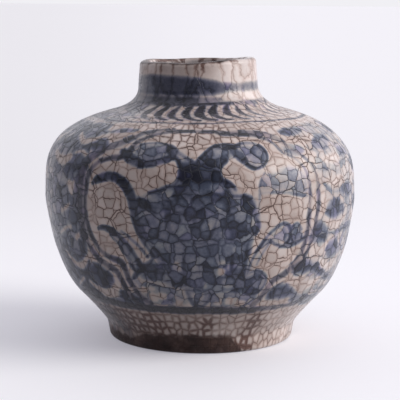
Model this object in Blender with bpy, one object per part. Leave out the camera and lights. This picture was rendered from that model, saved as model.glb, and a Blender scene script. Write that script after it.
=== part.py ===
"""A small squat storage jar of glazed stoneware, built the way a potter builds one.

The clay is four thrown or turned sections that are luted together with slip: a foot ring, the
lower half of the body, the upper half, and a neck collar. A glaze coat covers them from just
above the foot, over the lip and down inside the neck. Units are metres, +Z is up, and the
origin is the centre of the circle that the foot stands on.

Every piece is turned about +Z from a profile of (radius, height) points. The outer surface is
drawn first, as a chain of stations that each carry a normal, and everything else is measured
inwards from it: the back of the glaze, the clay under the glaze, and the wall of the hollow.
"""

import math

import bmesh
import bpy
from mathutils import Vector

MM = 0.001

# Outer surface, from the floor up.
FOOT_BASE_RADIUS = 25.2 * MM
WAIST_RADIUS = 26.0 * MM
FOOT_HEIGHT = 4.1 * MM
WAIST_ROUNDING = 1.5 * MM
HIP_RADIUS = 33.5 * MM
HIP_RISE = 9.3 * MM
HIP_FULLNESS = 10.0 * MM
BELLY_RADIUS = 42.1 * MM
BELLY_RISE = 25.4 * MM
BELLY_FULLNESS = 1.0 * MM
SHOULDER_RISE = 22.9 * MM
SHOULDER_FULLNESS = 9.9 * MM
SHOULDER_REACH = 19.4 * MM
SHOULDER_PITCH = math.radians(14.6)
NECK_ROOT_RADIUS = 16.2 * MM
NECK_FILLET_RUN = 7.4 * MM
NECK_FILLET_RISE = 4.7 * MM
NECK_HEIGHT = 11.4 * MM
LIP_RADIUS = 15.8 * MM

# Thicknesses, with the glaze counted in the wall.
BODY_WALL = 4.0 * MM
NECK_WALL = 3.1 * MM
FLOOR_THICKNESS = 5.2 * MM
GLAZE_THICKNESS = 0.45 * MM

# Foot ring, turned from a separate coil of clay.
FOOT_RING_WIDTH = 3.6 * MM
FOOT_RING_BATTER = 0.9 * MM
FOOT_CHAMFER = 0.7 * MM
RECESS_DOME = 0.7 * MM

# How the pieces meet.
CLEARANCE = 0.3 * MM
LUTE_GROOVE_DEPTH = 0.9 * MM
BARE_FOOT_HEIGHT = 2.2 * MM
GLAZE_INSIDE_NECK = 9.0 * MM

# How finely the turned surfaces are cut.
SIDES = 48
WAIST_STATIONS = 3
HIP_STATIONS = 7
SHOULDER_STATIONS = 9
FILLET_STATIONS = 5
LIP_STATIONS = 6
FLOOR_STATIONS = 4
MERGE_DISTANCE = 0.01 * MM
SHARP_ANGLE = math.radians(32)

# Heights that follow from the sizes above.
HIP_HEIGHT = FOOT_HEIGHT + HIP_RISE
BELLY_HEIGHT = HIP_HEIGHT + BELLY_RISE
SHOULDER_HEIGHT = BELLY_HEIGHT + SHOULDER_RISE
NECK_ROOT_HEIGHT = SHOULDER_HEIGHT + NECK_FILLET_RUN * math.tan(SHOULDER_PITCH)
LIP_HEIGHT = NECK_ROOT_HEIGHT + NECK_HEIGHT
CLAY_DEPTH = GLAZE_THICKNESS + CLEARANCE
RECESS_HEIGHT = FOOT_HEIGHT + CLEARANCE
FLOOR_HEIGHT = RECESS_HEIGHT + RECESS_DOME + FLOOR_THICKNESS


class Station:
    """A point of the outer surface in the (radius, height) plane, with its outward normal."""

    def __init__(self, point, direction):
        self.point = Vector(point)
        along = Vector(direction).normalized()
        self.normal = Vector((along.y, -along.x))

    def inwards(self, depth):
        return self.point - self.normal * depth


def bezier_stations(controls, count):
    """Stations along a Bezier curve of any degree, from its start up to but without its end."""
    degree = len(controls) - 1
    points = [Vector(control) for control in controls]
    stations = []
    for index in range(count):
        t = index / count
        spot = Vector((0.0, 0.0))
        slope = Vector((0.0, 0.0))
        for k, control in enumerate(points):
            spot += control * math.comb(degree, k) * t**k * (1 - t) ** (degree - k)
        for k in range(degree):
            share = math.comb(degree - 1, k) * t**k * (1 - t) ** (degree - 1 - k)
            slope += (points[k + 1] - points[k]) * share
        stations.append(Station(spot, slope))
    return stations


def foot_wall_stations():
    """The nearly upright outside of the foot, from the edge of the glaze to the waist."""
    base = Vector((FOOT_BASE_RADIUS, 0.0))
    top = Vector((WAIST_RADIUS, FOOT_HEIGHT))
    edge = base.lerp(top, BARE_FOOT_HEIGHT / FOOT_HEIGHT)
    return [Station(edge, top - base)]


def lower_stations():
    """From the waist, out over the hip and up to the widest circle of the belly."""
    hip = Vector((HIP_RADIUS, HIP_HEIGHT))
    waist_corner = Vector((WAIST_RADIUS, FOOT_HEIGHT + WAIST_ROUNDING))
    hip_direction = (hip - waist_corner).normalized()
    waist = bezier_stations([(WAIST_RADIUS, FOOT_HEIGHT), waist_corner, hip], WAIST_STATIONS)
    bowl = bezier_stations(
        [
            hip,
            hip + hip_direction * HIP_FULLNESS,
            (BELLY_RADIUS, BELLY_HEIGHT - BELLY_FULLNESS),
            (BELLY_RADIUS, BELLY_HEIGHT),
        ],
        HIP_STATIONS,
    )
    return waist, bowl


def shoulder_edge():
    """Where the straight run of the shoulder passes into the fillet of the neck."""
    return Vector((NECK_ROOT_RADIUS + NECK_FILLET_RUN, SHOULDER_HEIGHT))


def upper_stations():
    """From the widest circle up and over the shoulder."""
    outwards = Vector((math.cos(SHOULDER_PITCH), -math.sin(SHOULDER_PITCH)))
    return bezier_stations(
        [
            (BELLY_RADIUS, BELLY_HEIGHT),
            (BELLY_RADIUS, BELLY_HEIGHT + SHOULDER_FULLNESS),
            shoulder_edge() + outwards * SHOULDER_REACH,
            shoulder_edge(),
        ],
        SHOULDER_STATIONS,
    )


def neck_stations():
    """The neck's fillet, its upright wall and the rounded lip, up to the start of the bore."""
    fillet = bezier_stations(
        [
            shoulder_edge(),
            (NECK_ROOT_RADIUS, NECK_ROOT_HEIGHT),
            (NECK_ROOT_RADIUS, NECK_ROOT_HEIGHT + NECK_FILLET_RISE),
        ],
        FILLET_STATIONS,
    )
    half_wall = NECK_WALL / 2
    wall_foot = Vector((NECK_ROOT_RADIUS, NECK_ROOT_HEIGHT + NECK_FILLET_RISE))
    wall_top = Vector((LIP_RADIUS, LIP_HEIGHT - half_wall))
    wall = [Station(wall_foot, wall_top - wall_foot)]
    lip = []
    for index in range(LIP_STATIONS + 1):
        turn = math.pi * index / LIP_STATIONS
        spot = Vector((LIP_RADIUS - half_wall, LIP_HEIGHT - half_wall))
        spot += Vector((math.cos(turn), math.sin(turn))) * half_wall
        lip.append(Station(spot, (-math.sin(turn), math.cos(turn))))
    return fillet, wall + lip


FOOT_WALL = foot_wall_stations()
WAIST, BOWL = lower_stations()
SHOULDER = upper_stations()
NECK_FILLET, NECK_AND_LIP = neck_stations()
BORE_RADIUS = LIP_RADIUS - NECK_WALL
GLAZE_END_HEIGHT = LIP_HEIGHT - GLAZE_INSIDE_NECK


def finish_material(name, colour, roughness):
    material = bpy.data.materials.new(name)
    material.use_nodes = True
    shader = material.node_tree.nodes["Principled BSDF"]
    shader.inputs["Base Color"].default_value = (*colour, 1.0)
    shader.inputs["Roughness"].default_value = roughness
    shader.inputs["Metallic"].default_value = 0.0
    return material


def turned(name, profile, material):
    """A closed ring of (radius, height) points, spun once round +Z into a solid object."""
    shape = bmesh.new()
    rim = [shape.verts.new((radius, 0.0, height)) for radius, height in profile]
    edges = [shape.edges.new((rim[i - 1], rim[i])) for i in range(len(rim))]
    bmesh.ops.spin(
        shape,
        geom=rim + edges,
        cent=(0.0, 0.0, 0.0),
        axis=(0.0, 0.0, 1.0),
        angle=2 * math.pi,
        steps=SIDES,
        use_merge=True,
        use_duplicate=False,
    )
    bmesh.ops.remove_doubles(shape, verts=shape.verts, dist=MERGE_DISTANCE)
    bmesh.ops.recalc_face_normals(shape, faces=shape.faces)
    mesh = bpy.data.meshes.new(name)
    shape.to_mesh(mesh)
    shape.free()
    mesh.materials.append(material)
    mesh.shade_smooth()
    mesh.set_sharp_from_angle(angle=SHARP_ANGLE)
    piece = bpy.data.objects.new(name, mesh)
    bpy.context.scene.collection.objects.link(piece)
    return piece


def on_curve(stations):
    return [station.point for station in stations]


def inwards(stations, depth):
    return [station.inwards(depth) for station in stations]


def belly_seam(height):
    """The luted joint at the belly: a shallow V across the clay, from the outside to the hollow."""
    outer = BELLY_RADIUS - CLAY_DEPTH
    inner = BELLY_RADIUS - BODY_WALL
    return [
        Vector((outer, height)),
        Vector(((outer + inner) / 2, height - LUTE_GROOVE_DEPTH)),
        Vector((inner, height)),
    ]


def neck_seam(depth, lift):
    """A point of the conical joint between shoulder and neck, lifted along the surface."""
    edge = NECK_FILLET[0]
    along = Vector((-edge.normal.y, edge.normal.x))
    return edge.inwards(depth) + along * lift


def foot_ring(biscuit):
    """A low turned ring with a flat standing face, chamfered on both edges."""
    clay_foot = foot_clay_radius(0.0)
    inner_base = clay_foot - FOOT_RING_WIDTH
    return turned(
        "foot_ring",
        [
            (clay_foot - FOOT_CHAMFER, 0.0),
            (foot_clay_radius(FOOT_CHAMFER), FOOT_CHAMFER),
            (foot_clay_radius(FOOT_HEIGHT), FOOT_HEIGHT),
            (inner_base - FOOT_RING_BATTER, FOOT_HEIGHT),
            (inner_base, FOOT_CHAMFER / 2),
            (inner_base + FOOT_CHAMFER / 2, 0.0),
        ],
        biscuit,
    )


def foot_clay_radius(height):
    """The clay of the foot lies under the line of the glaze, and keeps its slope."""
    slope = (WAIST_RADIUS - FOOT_BASE_RADIUS) / FOOT_HEIGHT
    return FOOT_BASE_RADIUS + slope * height - CLAY_DEPTH


def lower_body(biscuit):
    """The thrown bowl: domed underside, hip and wall, and a grooved edge for the upper half."""
    underside = [
        Vector((0.0, RECESS_HEIGHT + RECESS_DOME)),
        Vector((WAIST_RADIUS - BODY_WALL - FOOT_RING_WIDTH, RECESS_HEIGHT)),
        Vector((foot_clay_radius(FOOT_HEIGHT), RECESS_HEIGHT)),
    ]
    outside = inwards(WAIST[1:] + BOWL, CLAY_DEPTH)
    seam = belly_seam(BELLY_HEIGHT)
    inside = inwards(reversed(BOWL[1:]), BODY_WALL)
    return turned("lower_body", underside + outside + seam + inside + floor_points(), biscuit)


def floor_points():
    """The inside of the base, swept from the wall into a level floor that ends on the axis."""
    wall = BOWL[0]
    start = wall.inwards(BODY_WALL)
    down = Vector((wall.normal.y, -wall.normal.x))
    corner = start + down * (FLOOR_HEIGHT - start.y) / down.y
    level = Vector((corner.x / 2, FLOOR_HEIGHT))
    sweep = bezier_stations([start, corner, level], FLOOR_STATIONS)
    return on_curve(sweep) + [level, Vector((0.0, FLOOR_HEIGHT))]


def upper_body(biscuit):
    """The thrown dome: a ridged lower edge, the shoulder, and a conical seat for the neck."""
    outside = inwards(SHOULDER[1:], CLAY_DEPTH)
    seat = [neck_seam(CLAY_DEPTH, 0.0), neck_seam(BODY_WALL, 0.0)]
    inside = inwards(reversed(SHOULDER[1:]), BODY_WALL)
    seam = list(reversed(belly_seam(BELLY_HEIGHT + CLEARANCE)))
    return turned("upper_body", outside + seat + inside + seam, biscuit)


def neck(biscuit):
    """The collar: flared where it seats on the shoulder, with a rounded lip and a plain bore."""
    outside = inwards(NECK_FILLET[1:] + NECK_AND_LIP, CLAY_DEPTH)
    seat = [neck_seam(BODY_WALL, CLEARANCE), neck_seam(CLAY_DEPTH, CLEARANCE)]
    bore_radius = BORE_RADIUS + CLAY_DEPTH
    corner_height = seat[0].y + (seat[0].x - bore_radius) * math.tan(SHOULDER_PITCH)
    flare = bezier_stations(
        [(bore_radius, GLAZE_END_HEIGHT), (bore_radius, corner_height), seat[0]],
        FILLET_STATIONS,
    )
    return turned("neck", outside + on_curve(flare) + seat, biscuit)


def outer_glaze(glaze):
    """One thin coat over all four sections, from the bare foot over the lip into the bore."""
    coat = FOOT_WALL + WAIST + BOWL + SHOULDER + NECK_FILLET + NECK_AND_LIP
    face = on_curve(coat) + [Vector((BORE_RADIUS, GLAZE_END_HEIGHT))]
    back = inwards(coat, GLAZE_THICKNESS)
    back.append(Vector((BORE_RADIUS + GLAZE_THICKNESS, GLAZE_END_HEIGHT)))
    return turned("outer_glaze", face + list(reversed(back)), glaze)


def main():
    for old in list(bpy.data.objects):
        bpy.data.objects.remove(old)
    biscuit = finish_material("brown_biscuit", (0.13, 0.075, 0.05), 0.8)
    glaze = finish_material("crackled_glaze", (0.42, 0.34, 0.30), 0.35)
    foot_ring(biscuit)
    lower_body(biscuit)
    upper_body(biscuit)
    neck(biscuit)
    outer_glaze(glaze)


main()
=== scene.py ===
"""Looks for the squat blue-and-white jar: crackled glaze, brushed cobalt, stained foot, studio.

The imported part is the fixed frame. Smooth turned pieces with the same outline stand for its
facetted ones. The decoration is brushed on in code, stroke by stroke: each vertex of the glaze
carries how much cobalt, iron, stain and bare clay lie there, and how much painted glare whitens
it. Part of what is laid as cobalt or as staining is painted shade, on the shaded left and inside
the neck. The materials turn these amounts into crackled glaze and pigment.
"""

import math
import random

import bmesh
import bpy
import numpy as np
from mathutils import Matrix, Vector

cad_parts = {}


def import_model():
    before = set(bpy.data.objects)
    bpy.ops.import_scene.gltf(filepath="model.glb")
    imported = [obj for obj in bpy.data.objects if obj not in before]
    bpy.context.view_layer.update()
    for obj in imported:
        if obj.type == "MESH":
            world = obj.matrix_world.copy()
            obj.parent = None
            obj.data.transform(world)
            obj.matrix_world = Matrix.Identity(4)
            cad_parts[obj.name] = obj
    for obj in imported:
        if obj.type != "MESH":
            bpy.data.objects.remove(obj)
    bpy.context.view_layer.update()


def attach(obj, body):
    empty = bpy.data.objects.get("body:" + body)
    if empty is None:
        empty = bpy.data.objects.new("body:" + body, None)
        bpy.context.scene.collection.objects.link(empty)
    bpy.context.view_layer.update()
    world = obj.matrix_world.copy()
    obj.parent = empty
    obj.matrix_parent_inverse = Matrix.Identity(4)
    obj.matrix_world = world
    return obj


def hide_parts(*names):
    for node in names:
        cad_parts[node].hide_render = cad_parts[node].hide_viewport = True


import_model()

MM = 0.001

# The jar's outline, in millimetres, from the floor up.
FOOT_BASE_RADIUS = 25.2
WAIST_RADIUS = 26.0
FOOT_HEIGHT = 4.1
WAIST_ROUNDING = 1.5
HIP_RADIUS = 33.5
HIP_HEIGHT = FOOT_HEIGHT + 9.3
HIP_FULLNESS = 10.0
BELLY_RADIUS = 42.1
BELLY_HEIGHT = HIP_HEIGHT + 25.4
BELLY_FULLNESS = 1.0
SHOULDER_HEIGHT = BELLY_HEIGHT + 22.9
SHOULDER_FULLNESS = 9.9
SHOULDER_REACH = 19.4
SHOULDER_PITCH = math.radians(14.6)
NECK_ROOT_RADIUS = 16.2
NECK_FILLET_RUN = 7.4
NECK_FILLET_RISE = 4.7
NECK_ROOT_HEIGHT = SHOULDER_HEIGHT + NECK_FILLET_RUN * math.tan(SHOULDER_PITCH)
LIP_RADIUS = 15.8
LIP_HEIGHT = NECK_ROOT_HEIGHT + 11.4
LIP_SQUARENESS = 0.74

# Thicknesses and joints, in millimetres.
BODY_WALL = 4.0
NECK_WALL = 3.1
FLOOR_THICKNESS = 5.2
GLAZE_THICKNESS = 0.45
CLEARANCE = 0.3
CLAY_DEPTH = GLAZE_THICKNESS + CLEARANCE
FOOT_RING_WIDTH = 3.6
FOOT_RING_BATTER = 0.9
FOOT_ROUNDING = 0.7
RECESS_HEIGHT = FOOT_HEIGHT + CLEARANCE
RECESS_DOME = 0.7
BARE_FOOT_HEIGHT = 2.2
GLAZE_INSIDE_NECK = 9.0
FLOOR_HEIGHT = RECESS_HEIGHT + RECESS_DOME + FLOOR_THICKNESS

# How finely the pieces are turned. The runs go from the foot up to the neck's wall.
RUN_POINTS = [20, 60, 160, 200, 60, 30]
LIP_POINTS = 40
SPOKES = 72
BODY_CUTS = 11
NECK_CUTS = 5
CLAY_SPOKES = 192
BODY_STEP = 0.42
NECK_STEP = 0.32
CLAY_STEP = 0.8
GLAZE_BACK_STEP = 4.0
FOOT_STEP = 0.4
LOOK_AHEAD = 0.15
MERGE_DISTANCE = 0.002 * MM
SHARP_ANGLE = math.radians(40)


def rise(value, start, run):
    """Nothing up to a start, then evenly up to one over a run."""
    return np.clip((value - start) / run, 0, 1)


def fall(value, end, run):
    """One, then evenly down over a run to nothing at an end."""
    return np.clip((end - value) / run, 0, 1)


def blot(value, centre, reach):
    """One at a centre, dying away on both sides."""
    return np.exp(-(((value - centre) / reach) ** 2))


def bezier(controls, count):
    """Points along a Bezier curve of any degree, without its last."""
    controls = np.array(controls, float)
    degree = len(controls) - 1
    t = (np.arange(count) / count)[:, None]
    terms = range(degree + 1)
    return sum(math.comb(degree, k) * t**k * (1 - t) ** (degree - k) * controls[k] for k in terms)


def outline():
    """The outer wall from the standing edge over the lip to the end of the glaze in the bore."""
    waist = (WAIST_RADIUS, FOOT_HEIGHT)
    waist_corner = np.array([WAIST_RADIUS, FOOT_HEIGHT + WAIST_ROUNDING])
    hip = np.array([HIP_RADIUS, HIP_HEIGHT])
    hip_direction = (hip - waist_corner) / np.linalg.norm(hip - waist_corner)
    belly = np.array([BELLY_RADIUS, BELLY_HEIGHT])
    shoulder = np.array([NECK_ROOT_RADIUS + NECK_FILLET_RUN, SHOULDER_HEIGHT])
    outwards = np.array([math.cos(SHOULDER_PITCH), -math.sin(SHOULDER_PITCH)])
    wall_foot = (NECK_ROOT_RADIUS, NECK_ROOT_HEIGHT + NECK_FILLET_RISE)
    half_wall = NECK_WALL / 2
    lip_centre = np.array([LIP_RADIUS - half_wall, LIP_HEIGHT - half_wall])
    turn = np.linspace(0, math.pi, LIP_POINTS)[:, None]
    across, up = np.cos(turn), np.sin(turn)
    squared = np.hstack([np.sign(across) * np.abs(across) ** LIP_SQUARENESS, up**LIP_SQUARENESS])
    lip = lip_centre + half_wall * squared
    bore_end = [[LIP_RADIUS - NECK_WALL, LIP_HEIGHT - GLAZE_INSIDE_NECK]]
    runs = [
        [(FOOT_BASE_RADIUS, 0), waist],
        [waist, waist_corner, hip],
        [hip, hip + hip_direction * HIP_FULLNESS, belly - [0, BELLY_FULLNESS], belly],
        [belly, belly + [0, SHOULDER_FULLNESS], shoulder + outwards * SHOULDER_REACH, shoulder],
        [shoulder, (NECK_ROOT_RADIUS, NECK_ROOT_HEIGHT), wall_foot],
        [wall_foot, lip[0]],
    ]
    return np.concatenate([bezier(run, count) for run, count in zip(runs, RUN_POINTS)] + [lip, bore_end])


WALL = outline()
WALL_CLIMB = np.concatenate([[0], np.cumsum(np.linalg.norm(np.diff(WALL, axis=0), axis=1))])
OUTSIDE = slice(0, int(np.argmax(WALL[:, 1])) + 1)


def climb_of(height):
    """Millimetres up the outer wall at which it reaches a height."""
    return np.interp(height, WALL[OUTSIDE, 1], WALL_CLIMB[OUTSIDE])


def on_wall(climb, depth=0.0):
    """(radius, height) points of the wall, set inwards by a depth."""
    climb = np.asarray(climb, float)

    def spot(there):
        return np.stack([np.interp(there, WALL_CLIMB, WALL[:, k]) for k in (0, 1)], -1)

    along = spot(climb + LOOK_AHEAD) - spot(climb - LOOK_AHEAD)
    along /= np.linalg.norm(along, axis=-1, keepdims=True)
    normal = np.stack([along[..., 1], -along[..., 0]], -1)
    return spot(climb) - normal * depth


def stretch(start, end, step):
    """Evenly spaced places up the wall between two others."""
    return np.linspace(start, end, max(2, int(round(abs(end - start) / step)) + 1))


def resampled(points, step):
    """A run of (radius, height) points cut into even steps, its corners kept."""
    fine = []
    for here, there in zip(points[:-1], points[1:]):
        here, there = np.array(here, float), np.array(there, float)
        count = max(1, int(round(np.linalg.norm(there - here) / step)))
        fine += [here + (there - here) * k / count for k in range(count)]
    return fine + [np.array(points[-1], float)]


# How far the jar leans to the right of the camera at each height, in millimetres.
LEAN_HEIGHTS = [0, 10, 24, 36, 46, 58, 68, 76]
LEAN = [0.74, 0.68, 0.48, 0.15, 0, -0.12, -0.64, -0.79]
TALLER = 1.008
NECK_TILT = 0.039


def leaning(points):
    """How far each point in metres moves along x because the jar leans."""
    return np.interp(points[:, 2] / MM, LEAN_HEIGHTS, LEAN) * MM


def hand_thrown(points):
    """The slight unevenness that a potter's hands leave, in metres, the same for every piece."""
    x, y, z = points[:, 0], points[:, 1], points[:, 2] / MM
    angle = np.arctan2(y, x)
    high = rise(z, 55, 20)
    swell = 0.998 + 0.0022 * np.sin(2 * angle + 0.6 + z * 0.03) + 0.0016 * np.sin(3 * angle - z * 0.11)
    swell += 0.0011 * np.sin(z * 0.55 + 0.8 * np.sin(angle)) * rise(z, 0, 12)
    swell += high * 0.006 * np.sin(3 * angle + 1.1) - 0.009 * fall(z, 8, 4)
    lift = 0.22 * np.sin(2 * angle + 2.2) + 0.12 * np.sin(5 * angle + 0.4)
    height = points[:, 2] * TALLER + high * (lift * MM + x * NECK_TILT)
    return np.stack([x * swell + leaning(points), y * swell, height], -1)


def field_of(items, field, kind=np.int32, size=1):
    """One field of all the items of a mesh, as an array."""
    values = np.empty(len(items) * size, kind)
    items.foreach_get(field, values)
    return values


def add_to_scene(name, data):
    made = bpy.data.objects.new(name, data)
    bpy.context.scene.collection.objects.link(made)
    return made


def mesh_of(name, shape, material):
    mesh = bpy.data.meshes.new(name)
    shape.to_mesh(mesh)
    shape.free()
    mesh.materials.append(material)
    return mesh


def turned(name, profile, material, spokes=SPOKES, cuts=0, paint=None):
    """A closed ring of (radius, height) points in millimetres, spun once about the axis.

    Cuts divide each span between two spokes further, and the new points are moved out to the circle.
    """
    shape = bmesh.new()
    rim = [shape.verts.new((radius * MM, 0, height * MM)) for radius, height in profile]
    edges = [shape.edges.new((rim[k - 1], rim[k])) for k in range(len(rim))]
    bmesh.ops.spin(
        shape,
        geom=rim + edges,
        cent=(0, 0, 0),
        axis=(0, 0, 1),
        angle=2 * math.pi,
        steps=spokes,
        use_merge=True,
        use_duplicate=False,
    )
    bmesh.ops.remove_doubles(shape, verts=shape.verts, dist=MERGE_DISTANCE)
    if cuts:
        level = [edge for edge in shape.edges if lies_round(*edge.verts)]
        bmesh.ops.subdivide_edges(shape, edges=level, cuts=cuts, use_grid_fill=True)
    bmesh.ops.recalc_face_normals(shape, faces=shape.faces)
    mesh = mesh_of(name, shape, material)
    spots = field_of(mesh.vertices, "co", np.float32, 3).reshape(-1, 3).astype(float)
    if cuts:
        span = 2 * math.pi / spokes
        off_middle = np.mod(np.arctan2(spots[:, 1], spots[:, 0]), span) - span / 2
        spots[:, :2] *= (np.cos(off_middle) / math.cos(span / 2))[:, None]
    if paint is not None:
        work = paint(spots)
        for field, values in work.fields.items():
            layer = mesh.attributes.new(field, "FLOAT", "POINT")
            layer.data.foreach_set("value", values.astype(np.float32))
        layer = mesh.attributes.new("cells", "FLOAT_VECTOR", "CORNER")
        layer.data.foreach_set("vector", crackle_plan(mesh, work, spots).astype(np.float32).ravel())
    mesh.vertices.foreach_set("co", hand_thrown(spots).astype(np.float32).ravel())
    mesh.shade_smooth()
    mesh.set_sharp_from_angle(angle=SHARP_ANGLE)
    piece = add_to_scene(name, mesh)
    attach(piece, "root")
    return piece


def lies_round(first, second):
    """Whether an edge runs round the axis and not along the profile."""
    same_height = abs(first.co.z - second.co.z) < MERGE_DISTANCE
    return same_height and abs(first.co.xy.length - second.co.xy.length) < MERGE_DISTANCE


# Zones of the crackle from the foot up: its upper end up the wall, the size of its cells, the
# radius that it is unrolled at, and how much taller than wide the cells are. All in millimetres.
CRACKLE_ZONES = [(15.9, 1.8, 29, 1.45), (71.7, 2.4, 39, 1), (83.2, 2.3, None, 1), (200, 3.9, 16, 2.7)]
# How far apart the zones lie in the pattern, in cells.
ZONE_SHIFT = 100.0


def crackle_plan(mesh, work, spots):
    """A flat place for each face corner, counted in cells, with the size of a cell beside it.

    The shoulder is laid flat from above and the other zones are unrolled. Zones meet under painted
    rings, where the change cannot be seen.
    """
    corner = field_of(mesh.loops, "vertex_index")
    starts = field_of(mesh.polygons, "loop_start")
    sizes = field_of(mesh.polygons, "loop_total")
    face = np.repeat(np.arange(len(starts)), sizes)
    angle = np.radians(work.angle[corner])
    widest = np.maximum.reduceat(angle, starts)[face]
    angle = np.where(widest - angle > math.pi, angle + 2 * math.pi, angle)
    climb = work.climb[corner]
    middle = (np.add.reduceat(climb, starts) / sizes)[face]
    plan = np.zeros((len(corner), 3))
    bottom = -1.0
    for number, (top, cell, radius, tall) in enumerate(CRACKLE_ZONES):
        zone = (middle > bottom) & (middle <= top)
        if radius is None:
            flat = spots[corner][zone, :2] / MM
        else:
            flat = np.stack([angle[zone] * radius, climb[zone] / tall], -1)
        plan[zone, :2] = flat / cell + ZONE_SHIFT * number
        plan[zone, 2] = cell
        bottom = top
    return plan


# Brushwork. A place on the jar is (degrees round from the front, millimetres up the wall).

SPANS = 5
PIECE_SPANS = 12
BRUSH_REACH = 1.0
FAR_OFF = 99.0
TINY = 1e-9


def smooth_run(points, closed=False):
    """A Catmull-Rom run through given points, each a tuple of any length."""
    points = np.array(points, float)
    if closed:
        points = np.concatenate([points[-1:], points, points[:2]])
    else:
        points = np.concatenate([2 * points[:1] - points[1:2], points, 2 * points[-1:] - points[-2:-1]])
    t = (np.arange(SPANS) / SPANS)[:, None]
    run = []
    for a, b, c, d in zip(points[:-3], points[1:-2], points[2:-1], points[3:]):
        bend = (2 * a - 5 * b + 4 * c - d) * t**2 + (3 * b - a - 3 * c + d) * t**3
        run.append(0.5 * (2 * b + (c - a) * t + bend))
    run = np.concatenate(run)
    return run if closed else np.concatenate([run, points[-2:-1]])


def from_span(first, second):
    """How far the origin is from a span between two places, and where along it is nearest."""
    (ax, ay), (bx, by) = first, second
    dx, dy = bx - ax, by - ay
    t = np.clip(-(ax * dx + ay * dy) / np.maximum(dx * dx + dy * dy, TINY), 0, 1)
    return np.hypot(ax + dx * t, ay + dy * t), t


class Brushwork:
    """How much cobalt and iron lie at each vertex, from none to one, as brushes lay and lift them."""

    def __init__(self, spots):
        height = spots[:, 2] / MM
        self.radius = np.hypot(spots[:, 0], spots[:, 1]) / MM
        self.angle = np.degrees(np.arctan2(spots[:, 0] + leaning(spots), -spots[:, 1]))
        inner = (self.radius < LIP_RADIUS - NECK_WALL / 2) & (height > NECK_ROOT_HEIGHT)
        past_lip = WALL_CLIMB[OUTSIDE.stop - 1] + (LIP_HEIGHT - height)
        self.climb = np.where(inner, past_lip, climb_of(height))
        self.cobalt = np.zeros(len(spots))
        self.iron = np.zeros(len(spots))
        self.fields = {"cobalt": self.cobalt, "iron": self.iron}

    def near(self, run, reach):
        """The vertices round a run, and a function that shows a place as each of them sees it."""
        middle = (run[:, 0].min() + run[:, 0].max()) / 2
        away = (self.angle - middle + 180) % 360 - 180
        half = (run[:, 0].max() - run[:, 0].min()) / 2
        margin = np.degrees(reach / np.maximum(self.radius, 8.0))
        inside = (np.abs(away) < half + margin) & (self.climb > run[:, 1].min() - reach)
        inside &= self.climb < run[:, 1].max() + reach
        picked = np.nonzero(inside)[0]
        scale = np.radians(1.0) * self.radius[picked]

        def seen(spot):
            return (spot[0] - middle - away[picked]) * scale, spot[1] - self.climb[picked]

        return picked, seen

    def along(self, points, reach=BRUSH_REACH):
        """Distances to the edge of a stroke through (degrees, up, width) points, in short lengths."""
        run = smooth_run(points)
        for start in range(0, len(run) - 1, PIECE_SPANS):
            piece = run[start : start + PIECE_SPANS + 1]
            picked, seen = self.near(piece, reach + piece[:, 2].max() / 2)
            best = np.full(len(picked), FAR_OFF)
            for here, there in zip(piece[:-1], piece[1:]):
                away, t = from_span(seen(here), seen(there))
                best = np.minimum(best, away - (here[2] + (there[2] - here[2]) * t) / 2)
            yield picked, best

    def stroke(self, points, tone=0.9, soft=0.55, iron=0.0):
        """A brush stroke, laid over what is there. Iron in it turns the blue towards brown."""
        for picked, edge in self.along(points):
            cover = faded(edge, soft)
            self.cobalt[picked] = np.maximum(self.cobalt[picked], tone * cover)
            self.iron[picked] += (iron - self.iron[picked]) * cover

    def lift(self, points, tone=0.06, soft=0.5):
        """A stroke of bare ground left between painted ones."""
        for picked, edge in self.along(points):
            self.cobalt[picked] += (tone - self.cobalt[picked]) * faded(edge, soft)

    def wash(self, points, tone, soft=0.5):
        """A pool of thinned cobalt inside a closed shape, in place of what is there."""
        run = smooth_run(points, closed=True)
        picked, seen = self.near(run, BRUSH_REACH)
        edge = np.full(len(picked), FAR_OFF)
        inside = np.zeros(len(picked), bool)
        for here, there in zip(run, np.roll(run, -1, axis=0)):
            (ax, ay), (bx, by) = seen(here), seen(there)
            edge = np.minimum(edge, from_span((ax, ay), (bx, by))[0])
            crosses = (ay > 0) != (by > 0)
            drop = np.where(np.abs(by - ay) < TINY, TINY, by - ay)
            inside ^= crosses & (ax - ay * (bx - ax) / drop > 0)
        cover = faded(np.where(inside, -edge, edge), soft)
        self.cobalt[picked] += (tone - self.cobalt[picked]) * cover


def faded(edge, soft):
    """One well inside an edge, nothing outside it, with a soft step between."""
    cover = np.clip(0.5 - edge / (2 * soft), 0, 1)
    return cover * cover * (3 - 2 * cover)
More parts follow.
